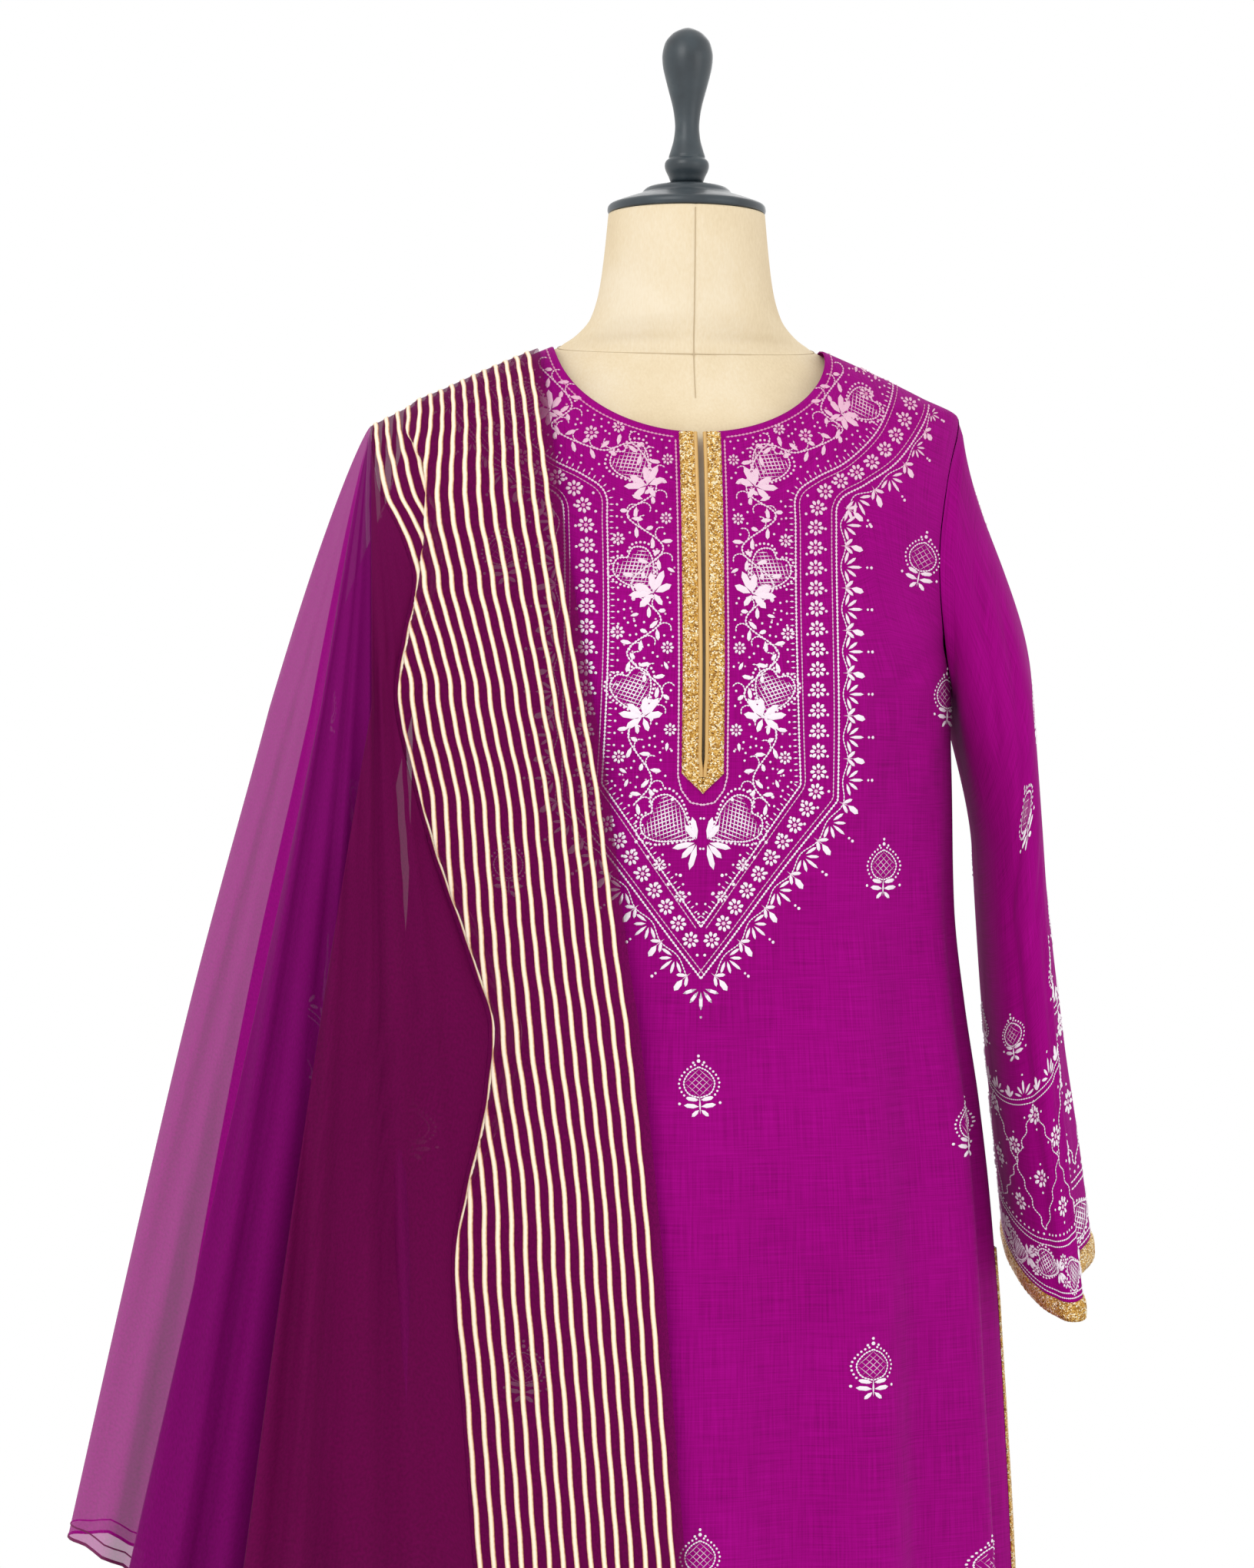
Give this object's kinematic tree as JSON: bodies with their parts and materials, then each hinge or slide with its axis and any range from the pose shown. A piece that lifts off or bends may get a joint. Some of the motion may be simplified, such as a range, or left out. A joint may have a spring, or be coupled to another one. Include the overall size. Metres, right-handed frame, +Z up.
{
  "type": "kurta and dupatta set on a dress form",
  "caption": "Long-sleeved kurta with an embroidered yoke and a sheer striped dupatta over one shoulder, on a limbless dress form with a round stand.",
  "frame": {"origin": "centre of the stand's base, on the floor", "axes": "+Z up, the front faces -Y, the wearer's left is +X"},
  "size_m": [0.7581, 0.3335, 1.6216],
  "materials": {
    "kurta_cloth": "soft woven viscose in purple, white and pale pink hand embroidery",
    "chiffon": "sheer crinkled chiffon in plum",
    "braid": "cream and gold twisted braid",
    "gold_lace": "glittering gold lace",
    "form_cloth": "tight cream jersey",
    "black_paint": "turned wood under satin black paint"
  },
  "bodies": {
    "root": {"form_torso": "form_cloth", "form_neck_cap": "black_paint", "form_finial": "black_paint", "stand_pole": "black_paint", "stand_base": "black_paint", "kurta_front": "kurta_cloth", "kurta_back": "kurta_cloth", "sleeve_left": "kurta_cloth", "sleeve_right": "kurta_cloth", "dupatta_border": "chiffon", "dupatta_field": "chiffon", "placket_lace_left": "gold_lace", "placket_lace_right": "gold_lace", "cuff_lace_left": "gold_lace", "cuff_lace_right": "gold_lace", "slit_trim_front_left": "gold_lace", "slit_trim_back_left": "gold_lace", "slit_trim_front_right": "gold_lace", "slit_trim_back_right": "gold_lace", "dupatta_braid_01": "braid", "dupatta_braid_02": "braid", "dupatta_braid_03": "braid", "dupatta_braid_04": "braid", "dupatta_braid_05": "braid", "dupatta_braid_06": "braid", "dupatta_braid_07": "braid", "dupatta_braid_08": "braid", "dupatta_braid_09": "braid", "dupatta_braid_10": "braid", "dupatta_braid_11": "braid", "dupatta_braid_12": "braid", "dupatta_braid_13": "braid", "dupatta_braid_14": "braid", "dupatta_braid_15": "braid"}
  },
  "joints": []
}
